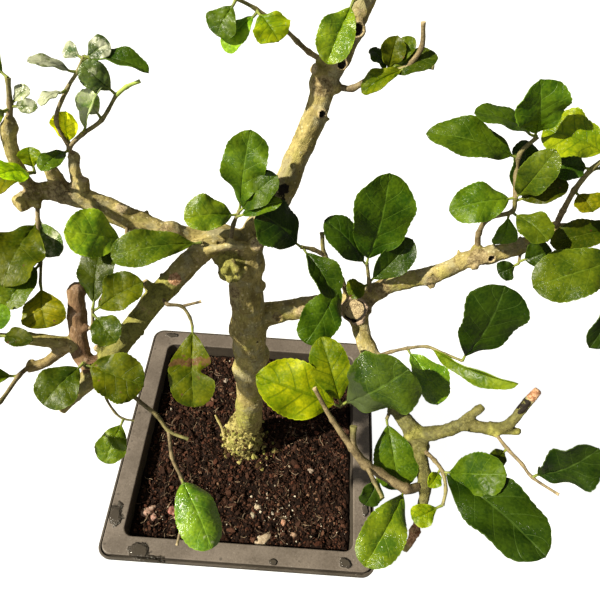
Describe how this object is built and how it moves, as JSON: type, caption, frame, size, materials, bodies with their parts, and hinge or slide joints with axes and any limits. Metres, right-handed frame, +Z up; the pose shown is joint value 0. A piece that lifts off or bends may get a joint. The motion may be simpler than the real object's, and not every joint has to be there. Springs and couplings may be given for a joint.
{
  "type": "potted bonsai tree",
  "caption": "Siamese rough bush bonsai with wiry spreading limbs and toothed oval leaves on short shoots, growing in a square grey plastic training pot of soil.",
  "frame": {"origin": "centre of the pot's base, on the surface it stands on", "axes": "+Z up, -Y towards the front of the picture, +X to its right"},
  "size_m": [0.2889, 0.1733, 0.3532],
  "materials": {
    "pot_plastic": "satin moulded plastic, dusty, with dried water marks",
    "potting_mix": "crumbly dark red-brown fibre and bark granules",
    "bark": "matt olive-tan bark with fine fissures, knots and scars",
    "leaf": "leathery green leaf, glossy above, toothed towards the tip"
  },
  "bodies": {
    "root": {"pot": "pot_plastic", "soil": "potting_mix", "wood": "bark", "crown_left_spray": "leaf", "crown_top_spray": "leaf", "crown_front_spray": "leaf", "crown_right_spray": "leaf", "trunk_top_spray": "leaf", "limb_leaf_spray": "leaf", "left_low_spray": "leaf", "left_shoot_spray": "leaf", "left_rise_spray": "leaf", "left_side_spray": "leaf", "left_hanging_spray": "leaf", "left_cluster_spray": "leaf", "left_far_spray": "leaf", "left_tip_spray": "leaf", "front_pair_spray": "leaf", "torn_leaf_spray": "leaf", "low_leaf_spray": "leaf", "front_twig_spray": "leaf", "fork_upright_spray": "leaf", "fork_leaf_spray": "leaf", "fork_low_spray": "leaf", "right_middle_spray": "leaf", "upper_right_spray": "leaf", "right_rise_spray": "leaf", "right_end_spray": "leaf", "right_under_spray": "leaf", "side_twig_spray": "leaf", "low_leaves_spray": "leaf", "low_back_spray": "leaf", "low_front_spray": "leaf"}
  },
  "joints": []
}
